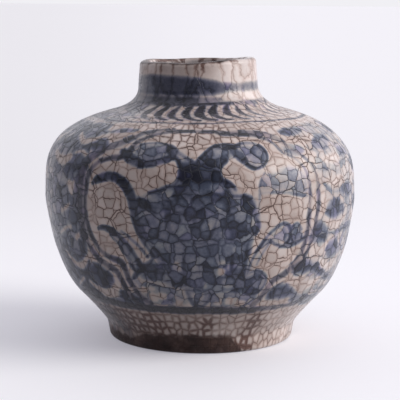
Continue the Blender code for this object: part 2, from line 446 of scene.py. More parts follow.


# The painting, read from the photograph. Strokes are (degrees, up, width) points.
INNER_FRAME = [
    (-18.5, 16.9, 1.4), (-22, 18.9, 1.5), (-25.3, 21.8, 1.4), (-27.6, 25, 1.2), (-28.6, 28.2, 1.2),
    (-29.8, 30.2, 1.4), (-34, 31.1, 1.1), (-38.4, 32.8, 1.1), (-41.4, 35.5, 1.2), (-43, 39, 1.2),
    (-43.4, 43.5, 1.2), (-43.2, 48.5, 1.2), (-42, 52.5, 1.2), (-39, 55.3, 1.1), (-34.5, 56.8, 1.1),
    (-29.5, 57.4, 1.3), (-26.6, 59.4, 1.4), (-25.2, 62, 1.1), (-22, 64.2, 1.1), (-17.5, 65.9, 1.1),
    (-11, 67, 1.1), (-3, 67.3, 1.1), (5, 67.1, 1.1), (10, 66.2, 1.6), (16, 65.9, 1.6), (22, 65.3, 1.2),
    (27, 63.8, 1),
]
INNER_FRAME_RIGHT = [
    (27, 63.8, 0.8), (30.2, 61.6, 0.6), (32, 59, 0.5), (36, 57.4, 0.5), (39.6, 54.8, 0.6), (41.6, 51, 0.9),
    (41.9, 46.5, 1), (41.4, 42.5, 1.2), (41.6, 38.8, 1.3), (41, 35.2, 1.3), (39.5, 31.8, 1.4),
    (37, 29, 1.4), (33.4, 26.8, 1.5), (29.6, 25.4, 1.4), (27.4, 22.8, 1.4), (25.2, 19.6, 1.3),
    (22.3, 17, 1.3),
]
OUTER_FRAME = [
    (-27, 17.5, 1.2), (-29.6, 21.5, 1.2), (-31.4, 25, 1.2), (-33, 27.6, 1.4), (-37.2, 28.9, 1.3),
    (-41, 31, 1.4), (-44, 34.2, 1.2), (-45.4, 38.5, 1.2), (-45.9, 43, 1.6), (-46.2, 48, 2),
    (-45.6, 52.5, 1.5), (-43, 55.9, 1.1), (-38.5, 58.5, 1.1), (-33.5, 60.8, 1.1), (-29.5, 63.4, 1.1),
    (-25, 65.9, 0.9), (-19, 67.5, 0.7), (-12, 68.3, 0.5),
]
OUTER_FRAME_RIGHT = [
    (14, 66.9, 1.1), (20, 66.7, 1.3), (26, 65.8, 1.7), (30.5, 64.6, 1.9), (33.8, 62.8, 1.7), (37, 60, 0.8),
    (41, 57.4, 0.7), (44.6, 54.2, 0.9), (46.1, 50, 1.2), (46.2, 45.5, 1.2), (45.4, 41.3, 1), (45, 37.5, 1),
    (43.6, 34.2, 1.1), (41.4, 31, 1.3), (38.6, 28.2, 1.3),
]
FRAME_SHADE = [
    (-46.2, 33.5, 1.6), (-47, 39, 3.2), (-47.4, 46, 4), (-46.4, 52.5, 3.6), (-43, 56.6, 2.6),
    (-37.6, 59.2, 2.2), (-32.6, 61.4, 2.6), (-28, 63.8, 2.4), (-23.6, 65.8, 1.2), (-17, 67, 0.6),
]
FRAMES = [(0.78, INNER_FRAME), (0.62, INNER_FRAME_RIGHT), (0.76, OUTER_FRAME), (0.54, OUTER_FRAME_RIGHT)]
# Pools of thinned cobalt: their tone and their outline in (degrees, up).
WASHES = [
    (0.635, [(-22.4, 47.4), (-18.5, 47.8), (-13, 49.9), (-8.5, 50.8), (-6.4, 53), (-7, 56.6), (-3.4, 57),
        (-1.2, 56), (1.2, 58), (4.4, 60.4), (8.2, 61.4), (12, 60.9), (13.4, 58.4), (10.4, 57.6), (7.8, 56),
        (6.9, 53.8), (8.4, 52.2), (11.2, 50.8), (13, 48.6), (16.4, 48.4), (19.2, 47.2), (20.7, 44.6),
        (20.8, 41.4), (19.6, 38.6), (18.6, 35), (18.3, 31), (18.4, 28.4), (22, 28.5), (25.3, 27.2),
        (25.8, 24.6), (24, 22.4), (20, 21.7), (15, 22.4), (10.5, 22.6), (7, 21.6), (3.8, 19.6), (0.2, 18.2),
        (-3, 19.6), (-5.6, 22.8), (-10, 23.8), (-14, 25.2), (-19, 25.7), (-23, 26.6), (-21.4, 29.4),
        (-17.4, 31.6), (-16, 33.2), (-18.4, 35.2), (-20.6, 37.6), (-22.2, 41), (-23, 44.8)]),
    (0.8, [(-10, 49.6), (-7, 51.4), (-6.4, 55.2), (-1.5, 56.4), (3, 57), (6.4, 55.6), (6.6, 52.6),
        (9.6, 50.4), (10.4, 47), (4.6, 47), (2, 46.6), (-1, 46), (-5, 48), (-9, 47.4)]),
    (0.9, [(-6, 55.6), (-1.4, 55.8), (2, 55), (5, 54.6), (5, 52.8), (3, 51.2), (-1, 50.8), (-5, 50.8),
        (-6.2, 53)]),
    (0.44, [(-24.2, 60), (-21, 61.6), (-15, 61.6), (-11.6, 60.4), (-11, 58.4), (-14, 57.3), (-18, 56.4),
        (-21.5, 57), (-24.6, 58.4)]),
    (0.5, [(13.6, 60.6), (16.8, 61.6), (20.8, 61.5), (23.6, 60.4), (24.6, 58.6), (23.8, 56.6), (21.4, 55.6),
        (18.6, 55.6), (16.4, 57.4), (15, 59)]),
    (0.48, [(-33.2, 38.2), (-28.8, 37), (-25.2, 34.8), (-22.6, 31.8), (-20, 29), (-24.2, 27.8),
        (-26.8, 31.6), (-29.8, 35)]),
    (0.33, [(21.4, 48.9), (21.4, 52), (23.6, 53.4), (27.5, 53.6), (31, 55), (35, 54.9), (39, 53.6),
        (41, 51.2), (40.6, 48.4), (36, 48.2), (30, 48.9), (25, 48.9)]),
    (0.34, [(25.9, 37.2), (27.6, 39.2), (30.4, 40), (32.4, 39.2), (33, 37.6), (31.8, 36), (29, 35.7)]),
    (0.34, [(19, 28.6), (20.2, 31.8), (22.6, 34.8), (25.2, 37.6), (26, 36.4), (23.6, 33.6), (21.4, 30.6)]),
    (0.7, [(34.2, 36.2), (34.2, 39), (36, 40), (38.2, 38.6), (39.4, 36.6), (36.8, 35.6)]),
    (0.4, [(-24, 24.6), (-15, 24.8), (-9, 23.8), (-4.6, 21.6), (-5, 18.4), (-14, 18), (-21, 18.4)]),
    (0.34, [(5, 21.2), (10, 22.4), (18, 21.6), (24, 21.4), (23, 17.6), (14, 16.8), (5, 17.2)]),
]
# Single cells of the mosaic, paler or darker than the pool they lie in: degrees, up, width in
# degrees, height in millimetres, and tone in hundredths.
CELLS = [
    (-18, 60.3, 5, 2, 42), (-13.5, 60.3, 4, 2, 42), (-19, 58.4, 6, 1.6, 42), (-17, 55.2, 4, 1.2, 24),
    (-10.7, 48.3, 4.2, 2.4, 42), (-15.8, 46.8, 3.4, 2.4, 40), (-12.5, 46.2, 3.2, 2.2, 47),
    (-18, 47.8, 3, 1.6, 26), (-17.5, 43.3, 3.4, 2.2, 55), (-13.2, 43, 3.2, 3.6, 44), (-3, 38.3, 6, 2, 58),
    (-17, 39.3, 4, 2.4, 47), (-12.3, 38.4, 3.4, 2, 48), (-14, 35.8, 3.6, 2, 44), (-7.7, 30, 3.6, 2.8, 28),
    (-2.2, 30.7, 2.8, 3.4, 48), (-8.6, 23.8, 2, 1.6, 32), (-1.2, 25.3, 3.4, 2.8, 47),
    (2.5, 25, 1.6, 2.2, 32), (-6.4, 22.6, 2.6, 2, 32), (-0.3, 21.3, 5, 3.2, 35), (2.5, 40.2, 3.6, 3.2, 40),
    (-0.8, 48.8, 2.6, 2, 64), (8.3, 59.7, 5, 2, 42), (17.7, 57, 2.8, 2.2, 34), (22.5, 59, 3.2, 2.2, 28),
    (6.3, 50.3, 5, 2.6, 41), (6, 45.6, 4, 2.2, 43), (13.5, 44.6, 5.2, 1.4, 48), (17.7, 41.3, 4, 2.4, 40),
    (9, 38.7, 3.6, 2.6, 40), (14, 34.4, 4, 2.8, 41), (14.3, 30.8, 4.6, 2.4, 36), (8.5, 31.2, 2.4, 1.2, 24),
    (8.5, 28.7, 2.8, 2.2, 10), (10.9, 30.2, 1.4, 2.4, 22), (11.3, 25.4, 5.2, 3, 34),
    (22.8, 24.8, 4.2, 3, 38), (-22, 35.7, 4.4, 1.6, 8), (-18.4, 34, 3.6, 1.8, 18),
    (-15.8, 31.5, 2.2, 2, 30), (-25, 29.7, 3.6, 2.2, 22), (-19.5, 26.6, 4.5, 1.6, 66),
    (-23.8, 24.9, 4.6, 1.8, 24), (-22, 22.8, 2.8, 2, 5), (-18.5, 20.5, 4, 3, 8), (-14.5, 21, 4, 2.6, 10),
    (-18.6, 23.2, 3, 1.4, 14), (-10.4, 21.4, 3.4, 1.4, 22), (-8, 19, 3.6, 2, 16), (12.5, 19.8, 3.4, 2.8, 8),
    (8, 19, 4, 1.6, 14), (17.5, 18.8, 4.4, 2.2, 8), (22.5, 18.6, 2, 1.6, 24), (19.4, 28.4, 2.6, 1.8, 30),
    (-32, 54.8, 5, 1.6, 6), (-37.8, 53, 4, 2.2, 6),
]
# Brush strokes of the flower and its leaves, in the order they are laid: their tone and their points.
STROKES = [
    (0.5, [(21.2, 48.7, 0.9), (26, 48.8, 0.9), (31, 48.6, 0.9), (36, 47.9, 0.9), (40.6, 47.2, 0.8)]),
    (0.45, [(23, 53.6, 0.6), (21.4, 51, 0.9), (20.9, 47, 0.9), (20.7, 43, 0.8)]),
    (0.72, [(21.4, 30.4, 0.7), (22.6, 32.6, 0.7), (24.6, 35, 0.7), (26.2, 36.6, 0.7)]),
    (0.78, [(18.2, 27.6, 1), (18.8, 30.6, 1), (20.4, 33.2, 0.9), (22.6, 35.8, 0.9), (25, 38.2, 0.9),
        (27.8, 39.9, 0.9), (30.6, 40.8, 1), (33, 39.9, 1.1), (33.9, 37.8, 1.1), (33, 35.9, 1),
        (30.8, 35, 1), (28, 35.5, 0.8), (25.8, 36.9, 0.7)]),
    (0.8, [(29.6, 34.9, 0.9), (33.6, 34.9, 1.2), (37.2, 35.5, 1.3), (40.4, 36.4, 1.1)]),
    (0.75, [(34.2, 39.8, 0.8), (36.4, 40.4, 0.9), (38.6, 38.8, 0.8)]),
    (0.8, [(-32.6, 37.4, 0.8), (-29.4, 35, 0.9), (-27.4, 32.6, 0.9), (-25.6, 30.2, 0.9), (-24, 27.8, 1)]),
    (0.75, [(-28, 38.6, 0.7), (-24.6, 36.8, 0.9), (-21.2, 34.8, 0.8), (-18.6, 32.4, 0.8)]),
    (0.9, [(-37.6, 38.7, 0.8), (-35.2, 39, 1.4), (-32, 38.4, 1.9), (-29, 37.1, 1.8), (-26.5, 35.4, 1.5),
        (-24.6, 33.5, 1.4), (-22.8, 31.3, 1.4), (-21, 29, 1.6)]),
    (0.9, [(-39.8, 50.2, 1), (-37.2, 51.4, 2.1), (-33.2, 52.2, 2.4), (-29, 51.7, 2.4), (-26, 50.1, 2.5),
        (-24, 48, 2.6), (-22.8, 45.2, 2.6), (-22, 42.3, 2.5), (-21.2, 39.6, 2.1), (-20, 37, 1.6),
        (-18.2, 34.7, 1.2), (-16.2, 32.6, 1)]),
    (0.76, [(-25.5, 59.6, 0.8), (-23, 61.2, 0.8), (-19, 62, 0.7), (-14.5, 61.9, 0.8), (-11, 61, 1.2),
        (-8.8, 59.6, 1.5), (-6.2, 58.4, 1.2), (-3.6, 57.2, 1.1), (-1.4, 56, 1.3)]),
    (0.83, [(-29.6, 58.9, 1.8), (-25.4, 57.1, 2.8), (-22, 56.1, 2.7), (-19, 55.8, 2.1), (-15.4, 56.4, 1.9),
        (-12, 57.3, 2), (-9.4, 58.2, 1.8), (-7.6, 57.2, 1.3), (-6.6, 55.6, 1.1)]),
    (0.9, [(-11.8, 60.8, 1.5), (-10.8, 59.3, 2.1), (-9.4, 58, 1.9)]),
    (0.86, [(-6.1, 54.6, 1), (-6.8, 52.4, 1.2), (-8.6, 50.7, 1.3), (-11.5, 50.1, 1.2), (-14.5, 49.2, 1.1),
        (-17, 48.6, 1)]),
    (0.9, [(-20.8, 46.4, 2.4), (-18.6, 45.8, 2.2), (-16.6, 45.2, 1)]),
    (0.88, [(-8.2, 48.4, 2), (-5.6, 49.4, 2), (-3, 48.4, 1.4), (-6.4, 47.6, 1)]),
    (0.84, [(-1.6, 56, 1.2), (1.2, 58.2, 1.1), (3.8, 60.2, 1.1), (6.8, 61.5, 1.1), (10.4, 61.7, 1.1),
        (13, 60.9, 1.4)]),
    (0.78, [(13, 61, 1.2), (16.6, 62.1, 1), (20.8, 62.1, 1), (24, 60.8, 0.9), (25.2, 58.7, 0.7),
        (24.4, 56.5, 0.7), (22, 55.3, 0.9), (19, 55.2, 1.2), (16.6, 56.4, 1.3), (14.2, 57.6, 1.3)]),
    (0.86, [(9.3, 57, 1.1), (7.4, 55.9, 1.3), (6.5, 54, 1.5), (7.4, 52.2, 1.4), (10, 51.4, 1.1),
        (12.4, 49.7, 1.1)]),
    (0.92, [(12.4, 60.9, 2), (13, 59.5, 2.8), (15, 58.4, 2.4), (16.6, 57, 1.2)]),
    (0.92, [(9.8, 48.2, 1.6), (12.4, 48.2, 1.4), (15.4, 48, 1.1), (17.4, 46.8, 1.8), (18.6, 45, 1.8),
        (17.6, 43.8, 1)]),
    (0.88, [(10, 49.6, 1.2), (9.8, 47, 1.6), (9.8, 44.4, 1.6), (11, 43.8, 1)]),
    (0.86, [(19.6, 42.8, 0.9), (20.7, 40.6, 1.5), (19.8, 38.8, 1)]),
    (0.86, [(-1.6, 47.4, 1.1), (2, 47, 1.1), (5.6, 47.4, 1), (8.6, 46.8, 1.1), (9.4, 45, 1)]),
    (0.84, [(-10.6, 43.4, 1.8), (-10.6, 41, 2), (-9, 38.8, 1.6), (-6.4, 37, 1.3), (-2, 36.4, 1.2),
        (1.4, 36.4, 1.2), (3.8, 38, 1.3), (5.2, 40.4, 1.4), (6, 42.4, 1.2)]),
    (0.84, [(-9.8, 43.8, 1.4), (-6.4, 44.2, 1.2), (-3.4, 43.2, 1.2), (-1.4, 42.2, 1.8), (-2.4, 43.4, 1.6)]),
    (0.86, [(-20, 40.6, 1.6), (-18.6, 37.4, 1.2), (-17.4, 35.6, 1.1), (-14.4, 33.6, 1.2),
        (-13, 31.6, 1.3)]),
    (0.86, [(-25.6, 26, 1), (-23.2, 27.6, 1.8), (-20.4, 28.8, 2.2), (-17, 29, 2.2), (-14, 28, 1.7),
        (-11, 28.2, 1.2)]),
    (0.86, [(-5.4, 33.6, 1.4), (-5.3, 30, 1.5), (-5.2, 27, 1.5), (-5, 24.6, 1.3)]),
    (0.8, [(0.2, 33, 1), (0.2, 30, 1.2), (0.4, 27.8, 1)]),
    (0.82, [(4, 28, 1.1), (8, 27, 0.8), (12.4, 27.6, 0.9), (17, 27.4, 1.1)]),
    (0.88, [(17.2, 36, 1), (16.9, 32.6, 1.4), (16.9, 29.4, 1.6), (17.2, 26.8, 1)]),
    (0.82, [(11.8, 33.6, 1), (12, 31, 1.2), (12, 28.8, 1.2)]),
    (0.78, [(15.6, 25.8, 0.8), (17.2, 23.4, 0.9), (20.4, 21.9, 1.1), (24, 22.4, 1.1), (26, 24.6, 1),
        (25.4, 27.2, 0.9), (22, 28.6, 0.8), (18.8, 28, 0.9)]),
    (0.82, [(-4.4, 22.8, 1.4), (-2.4, 19.2, 1.4), (0.6, 17.8, 1.4), (3.6, 19.6, 1.3), (4.6, 22.4, 1.2)]),
    (0.97, [(-4.4, 55.2, 1.4), (-3, 53.2, 3), (-0.6, 52.6, 3.4), (2.4, 53, 2.8), (4.4, 53.8, 1.6)]),
]
# The scale ground at the sides: dark dabs, and then the bare scales left under them.
DABS = [
    (0.61, [(-53, 52.6, 2.4), (-50, 52.9, 3.8), (-46.6, 53.2, 2.6)]),
    (0.64, [(-63, 46.4, 3.4), (-59, 47, 5.4), (-54.6, 47.2, 3.4)]),
    (0.64, [(-54, 41.6, 3), (-51, 40.4, 5.4), (-47, 41, 4.4)]),
    (0.64, [(-59.6, 32.6, 3.2), (-55, 33, 5.6), (-49.6, 33.4, 2.2)]),
    (0.84, [(-46.4, 25.2, 3.6), (-42.6, 25.2, 7), (-38.4, 25, 4)]),
    (0.56, [(-58, 19.4, 2.2), (-51, 18.6, 2.6), (-44, 17, 1.6)]),
    (0.58, [(-72, 25.6, 2.2), (-64, 24.8, 2.8), (-55, 24.6, 1.6)]),
    (0.66, [(-46, 60.8, 2.6), (-42.6, 60.6, 4.2), (-38.4, 59.6, 2.2)]),
    (0.61, [(-57, 64.2, 2.2), (-51, 64.4, 3), (-44.6, 65, 1.8)]),
    (0.59, [(-69, 59.2, 2.4), (-62, 59.2, 3.4), (-55, 58.8, 2.2)]),
    (0.53, [(-67, 39.4, 3), (-61, 39.8, 4.6), (-57, 39.4, 3)]),
    (0.5, [(-74, 47, 3), (-69, 48.4, 4.6)]),
    (0.46, [(-74, 32, 3), (-66, 32.4, 3), (-61, 32.8, 1.6)]),
    (0.5, [(-39.6, 17.8, 2.4), (-36.6, 17.6, 2.8), (-33.4, 17.6, 2)]),
    (0.72, [(-34.6, 20.4, 2.8), (-31, 19.4, 4.8), (-26.8, 18.2, 4.4)]),
    (0.58, [(-41, 65.6, 1.4), (-35.6, 66.4, 2), (-30, 67, 1.2)]),
    (0.58, [(51.2, 42.6, 2.6), (56, 43.2, 5.4), (62.4, 42.6, 2.8)]),
    (0.52, [(44.4, 36.4, 3), (48, 37.2, 6), (52.8, 36, 2.8)]),
    (0.7, [(37.4, 28.8, 2.6), (41.4, 28.6, 4.8), (46.2, 28.2, 3)]),
    (0.59, [(45.8, 28, 2.4), (50, 28, 2.6), (55, 25.8, 2), (62, 23.4, 1.8), (70, 22, 1.4)]),
    (0.75, [(30.6, 21, 3.2), (34.4, 21.6, 5.2), (40.4, 20.6, 2.6)]),
    (0.64, [(40.4, 20.2, 2.6), (46, 18.2, 3.4), (53, 16.8, 3.8), (64, 15.8, 3.8)]),
    (0.53, [(54.6, 33, 2.4), (60, 31.6, 5.4), (66, 30.8, 2.6)]),
    (0.58, [(38.4, 65.6, 2), (43.6, 65.6, 3.4), (50.4, 66, 1.8)]),
    (0.47, [(51.4, 60.4, 3), (56.6, 61, 5.4), (62.6, 62, 3.2)]),
    (0.35, [(45, 53.6, 2.2), (48.6, 53.8, 3), (53, 53.2, 1.6)]),
    (0.53, [(62.6, 47.6, 2.4), (68.4, 47, 3.8), (73, 46.4, 2.6)]),
    (0.36, [(34.2, 59.6, 3), (37.6, 59.8, 4.4), (41.4, 59.2, 3)]),
    (0.48, [(50, 49.2, 1), (55, 47.4, 1), (60, 47.2, 1)]),
    (0.48, [(53, 36.4, 1.4), (60, 36.4, 1.4), (68, 36.8, 2.6), (74, 37, 3)]),
    (0.43, [(62, 56, 1.2), (68, 57.4, 2.8), (74, 57, 3.2)]),
    (0.4, [(56, 20.6, 1.4), (64, 19.6, 1.8), (74, 20, 2.4)]),
]
BARE_SCALES = [
    [(-52.8, 49, 2.4), (-50.6, 47.8, 3.6), (-49.4, 47.8, 2.6)],
    [(-70, 56.4, 1.2), (-65.6, 55.4, 2.2), (-60, 54.6, 2.4), (-55.4, 55.8, 2.2)],
    [(-60, 63.6, 1), (-56, 61.8, 1.8), (-51.6, 60.8, 2), (-47.6, 61.8, 1.8), (-43.4, 63.2, 1.2)],
    [(-53, 57.2, 1), (-49, 57.8, 1.4), (-45.2, 56.6, 1.2)],
    [(-58.4, 41.6, 1), (-55, 42.6, 1.3), (-52.6, 43.8, 1)],
    [(-63, 35.2, 1), (-58, 36.8, 1.2), (-53.4, 37.8, 0.9)],
    [(-51, 34.9, 1.2), (-49, 35.7, 1.9), (-47.4, 35.2, 1)],
    [(-62, 30.4, 1.2), (-58.6, 28.3, 1.9), (-54, 27, 2.2), (-50, 28, 2), (-46.4, 30.2, 1.6),
        (-43, 31.2, 1.2)],
    [(-50, 22.6, 1.2), (-47, 21, 1.8), (-43, 19.6, 2.2), (-40, 19.4, 2), (-37, 20.2, 2),
        (-34.6, 22.6, 1.4)],
    [(-62, 20.4, 1), (-57, 22.2, 1.3), (-54, 23.4, 1)],
    [(-36.8, 63.8, 1.6), (-34.2, 62.6, 1.8), (-31.6, 61.4, 1)],
    [(50.4, 41, 1.2), (54, 39.2, 1.9), (58, 38.5, 2.2), (62, 39, 1.9), (65.4, 40.4, 1.2)],
    [(43.2, 34.4, 1), (46, 32.6, 2), (50, 31.8, 2.4), (54, 33.8, 1.4)],
    [(36.8, 25, 1.4), (41.6, 23.6, 2), (47, 22.5, 2.5), (52, 22.7, 2.2), (55.6, 23.8, 1.2)],
    [(52, 29.4, 1.2), (57, 27.4, 1.9), (63, 26.8, 1.9)],
    [(31.6, 16.9, 1.5), (36.6, 16.9, 1.8), (40.6, 18.4, 1.2)],
    [(47.4, 48.2, 2.4), (48.4, 46, 3), (48.4, 43.4, 2.4), (47.4, 41.6, 1)],
    [(51.6, 50.4, 1.4), (56.6, 50, 2.8), (62.6, 50.2, 2)],
    [(36, 62.6, 1.2), (41.6, 61.9, 1.9), (47, 61.8, 2), (54.4, 63.4, 1.6)],
    [(41.2, 57, 1.6), (44.6, 57.2, 2.8), (47.6, 57.6, 1.6)],
    [(52, 56, 1.4), (57, 55.9, 2.4), (63, 56, 2)],
]


# The hand's small strayings are the same on every run.
BRUSH_SEED = 7
CORNER_SEED = 11


def painted(spots):
    """All of the brushwork, for the vertices of one piece."""
    work = Brushwork(spots)
    hand = random.Random(BRUSH_SEED)
    scale_ground(work, hand)
    for centre, side in ((0.0, 1), (180.0, -1)):
        panel(work, centre, side, hand)
    comma_band(work, hand)
    ring_lines(work)
    stained_foot(work)
    return work


# The outline of a cell one wide and one high, squarish like a cell of the crackle.
CELL_EDGE = [
    (-0.5, 0), (-0.4, 0.38), (0, 0.5), (0.42, 0.36), (0.5, 0), (0.38, -0.4), (0, -0.5), (-0.41, -0.36),
]
# How far the brush strays at the back, in degrees and in millimetres.
BACK_LOOSENESS = 0.45
# How much broader the frame is laid, and how much thinner the cobalt, than the tables say.
FRAME_BROADER = 1.3
PANEL_THINNER = 0.94


def panel(work, centre, side, hand):
    """One lobed panel with its flower. The one at the back is mirrored and brushed a little looser."""
    loose = 0.0 if side > 0 else BACK_LOOSENESS

    def placed(points):
        moved = []
        for point in points:
            angle = centre + side * (point[0] + hand.uniform(-loose, loose))
            moved.append((angle, point[1] + hand.uniform(-loose, loose), *point[2:]))
        return moved

    for tone, shape in WASHES:
        work.wash(placed(shape), tone, soft=1.1)
    for angle, up, width, height, tone in CELLS:
        shape = [(angle + width * x, up + height * y) for x, y in CELL_EDGE]
        work.wash(placed(shape), tone / 100, soft=0.55)
    work.stroke(placed(FRAME_SHADE), 0.68, soft=0.9, iron=0.3)
    for tone, stroke in FRAMES:
        broad = [(angle, up, FRAME_BROADER * width) for angle, up, width in stroke]
        work.stroke(placed(broad), PANEL_THINNER * tone, soft=0.65, iron=0.75)
    for tone, stroke in STROKES:
        work.stroke(placed(stroke), PANEL_THINNER * tone, iron=0.15)


# More scales in the corners that the rounded panel at the back leaves free.
BACK_CORNER_SCALES = [(139.5, 63.4), (148, 64.8), (139.5, 26.2), (149, 21.2), (139, 20.4)]
# How far the panel at the back reaches to either side, in degrees, at places up the wall.
BACK_PANEL_UP = [16.5, 21.5, 25, 28, 31, 34.2, 38.5, 48, 52.5, 55.9, 58.5, 60.8, 63.4, 65.9, 67.5]
BACK_PANEL_REACH = [26.6, 29.8, 31.6, 33.6, 41, 44.2, 45.6, 46.4, 45.8, 43.2, 38.8, 33.8, 29.8, 25.2, 19]
# The scales at the back stand in columns, from a first place in degrees and up. The odd columns
# start half a step higher, and no scale stands higher than the last of these.
SCALE_COLUMNS = 6
SCALE_ROWS = 5
FIRST_SCALE = (79.5, 21.5)
SCALE_PITCH = 10.0
SCALE_RISE = 10.6
HIGHEST_SCALE = 66
# How much darker the dabs are laid than their table says.
DAB_DARKER = 1.08


def scale_ground(work, hand):
    """Thin cobalt between the two panels, dabs and bare scales in front, columns of scales behind."""
    around = np.abs(work.angle)
    back_edge = 180 - np.interp(work.climb, BACK_PANEL_UP, BACK_PANEL_REACH)
    between = rise(around, 44.5, 2) * fall(around, back_edge, 3)
    band = rise(work.climb, 16.5, 1) * fall(work.climb, 70, 2.5)
    # Painted shade: the ground is laid heavier on the left, most of all low down and away from the middle.
    # This is partly heavier cobalt and partly painted shade of the shaded side.
    left = fall(work.angle, 20, 40)
    away = rise(np.abs(work.climb - 45), 8, 12)
    low = fall(work.climb, 34, 10)
    # Painted glare: at the far left edge the ground is laid thinner.
    left_edge_glare = fall(work.angle, -56, 16)
    ground = 0.22 + 0.30 * left + (0.16 * away + 0.26 * low) * left - 0.22 * left_edge_glare
    work.cobalt[:] = between * band * ground
    for tone, stroke in DABS:
        work.stroke(stroke, tone * DAB_DARKER, soft=1.2)
    for stroke in BARE_SCALES:
        work.lift(stroke, 0.05, soft=0.7)
    for column in range(SCALE_COLUMNS):
        for row in range(SCALE_ROWS):
            for side in (-1, 1):
                angle = side * (FIRST_SCALE[0] + SCALE_PITCH * column) + hand.uniform(-0.8, 0.8)
                up = FIRST_SCALE[1] + SCALE_RISE * (row + column % 2 / 2) + hand.uniform(-0.6, 0.6)
                if up < HIGHEST_SCALE:
                    scale(work, angle, up, hand)
    corner_hand = random.Random(CORNER_SEED)
    for angle, up in BACK_CORNER_SCALES:
        for side in (-1, 1):
            scale(work, side * angle, up, corner_hand)


# One scale as (degrees, up, width) points from its middle: its closing line, bare crescent and dab.
SCALE_LINE = [(-5, -1.4, 0.7), (-2.9, -4.4, 1.1), (0, -5.6, 1.2), (2.9, -4.4, 1.1), (5, -1.4, 0.7)]
SCALE_BARE = [(-4.4, -0.6, 1), (-2.6, -2.9, 1.7), (0, -3.8, 2.1), (2.6, -2.9, 1.7), (4.4, -0.6, 1)]
SCALE_DAB = [(-3.2, 0.2, 2.4), (0, 0.4, 4.6), (3.2, 0.1, 2.4)]


def scale(work, angle, up, hand):
    """One scale, its line first and its dab last."""
    size = hand.uniform(0.9, 1.1)
    tone = hand.uniform(0.58, 0.70)

    def moved(points):
        """The points at the scale's own place and size, each a little astray."""
        spots = []
        for x, y, width in points:
            spots.append((angle + x * size + hand.uniform(-0.3, 0.3), up + y * size, width * size))
        return spots

    work.stroke(moved(SCALE_LINE), tone - 0.1, soft=0.7)
    work.lift(moved(SCALE_BARE), soft=0.7)
    work.stroke(moved(SCALE_DAB), tone, soft=0.7)


COMMAS = 38
# One crescent of the shoulder as (degrees, up, width) points.
COMMA = [
    (1.8, 82.2, 0.8), (-0.6, 80.6, 1.6), (-1.8, 78.8, 2.1), (-1, 76.9, 1.9),
    (1.4, 75.2, 1.3), (4.8, 74, 0.9), (8, 73.5, 0.7),
]


def comma_band(work, hand):
    """Crescents leaning round the shoulder, each with a thick back and a thin tail, laid fainter at the
    sides.
    """
    for index in range(COMMAS):
        angle = (360 / COMMAS * index + 1.6 + hand.uniform(-0.5, 0.5) + 180) % 360 - 180
        # Painted sheen: away from the front the crescents are laid fainter and thinner, as glare would
        # cover them.
        sheen_fade = min(abs(angle + 8) / 40, 1.0) ** 2
        fat = hand.uniform(1.0, 1.27) * (1 - 0.35 * sheen_fade)
        points = [(angle + x, up + hand.uniform(-0.15, 0.15), width * fat) for x, up, width in COMMA]
        # Painted light: the crescents are paler on the lit right.
        pale = 0.2 * rise(angle, 22, 24) * (angle < 100)
        work.stroke(points, 0.97 - 0.34 * sheen_fade - pale, soft=0.6, iron=1.0)


def ring(work, up, half, soft):
    """A line round the jar, from its middle up the wall and half of its width."""
    return faded(np.abs(work.climb - up) - half, soft)


def ring_lines(work):
    """Lines drawn on the wheel, the broad band of the neck, a thin film of cobalt by them, and painted
    shade and glare.
    """
    around = (work.angle + 180) % 360 - 180
    turn = np.radians(around)
    wander = 0.25 * np.sin(2 * turn + 3.4) + 0.12 * np.sin(7 * turn + 1.0) + 0.08 * np.sin(13 * turn)
    # The lines are heavy in front and on the left, and thin on the right and at the back.
    from_back = rise(around, -175, 60)
    heavy = fall(around, 34, 18) * from_back
    dark_side = fall(around, 36, 26) * from_back
    high_side = fall(around, 22, 34) * from_back
    pool_side = fall(around, 27, 35) * from_back
    right = rise(around, 12, 20) * fall(around, 120, 20)
    # Painted glare: the band and the pool are laid fainter at the far left edge.
    left_edge_glare = fall(around, -36, 30) * rise(around, -160, 50)
    # The shaded left, where painted shade is laid.
    shaded_left = fall(around, -34, 14) * rise(around, -150, 20)

    base = ring(work, 16.1 + wander, 0.95 + 0.6 * heavy, 0.7) * (0.58 + 0.42 * heavy)
    shoulder = ring(work, 71.5 - 0.5 * wander, 0.4, 0.5) * 0.72
    root = ring(work, 82.9 - 0.5 * wander - 0.5 * right, 0.55 + 0.4 * right, 0.7 + 0.3 * right)
    root *= 0.62 + 0.1 * heavy - 0.22 * right
    half = 1.25 + 0.45 * dark_side + 0.95 * high_side + 0.4 * wander
    band = ring(work, 87 + 0.9 * high_side, half, 1.0)
    band *= 0.39 + 0.35 * dark_side - 0.32 * left_edge_glare
    pool = ring(work, 83.6, 1 + 0.7 * pool_side, 0.8) * (0.25 + 0.55 * pool_side)
    pool *= rise(pool_side, 0, 0.25) * (1 - 0.42 * left_edge_glare)
    # Painted shade: films of cobalt, brownish on the hip, darken the shaded left of the shoulder and of the
    # hip.
    shoulder_shade = ring(work, 76.5, 6.5, 1.5) * shaded_left * 0.34
    hip_shade = fall(work.climb, 15.5, 1.5) * shaded_left * 0.3
    between = faded(np.abs(around + 18) - 38, 12) * ring(work, 77.5, 5.5, 1.0) * 0.17
    lines = [(0.75, base), (0.6, shoulder), (0.6, root), (0.3, band), (0.6, pool)]
    for iron, laid in lines + [(0.25, shoulder_shade), (0.9, hip_shade), (0.6, between)]:
        work.iron[:] = np.where(laid > work.cobalt, iron, work.iron)
        work.cobalt[:] = np.maximum(work.cobalt, laid)


# Where the wall turns over at the lip, in millimetres up it.
LIP_EDGE = 94.35
# The most that is kept of the depth in the bare foot, and of the staining and painted shade.
DEEPEST = 6.0
DARKEST = 3.0


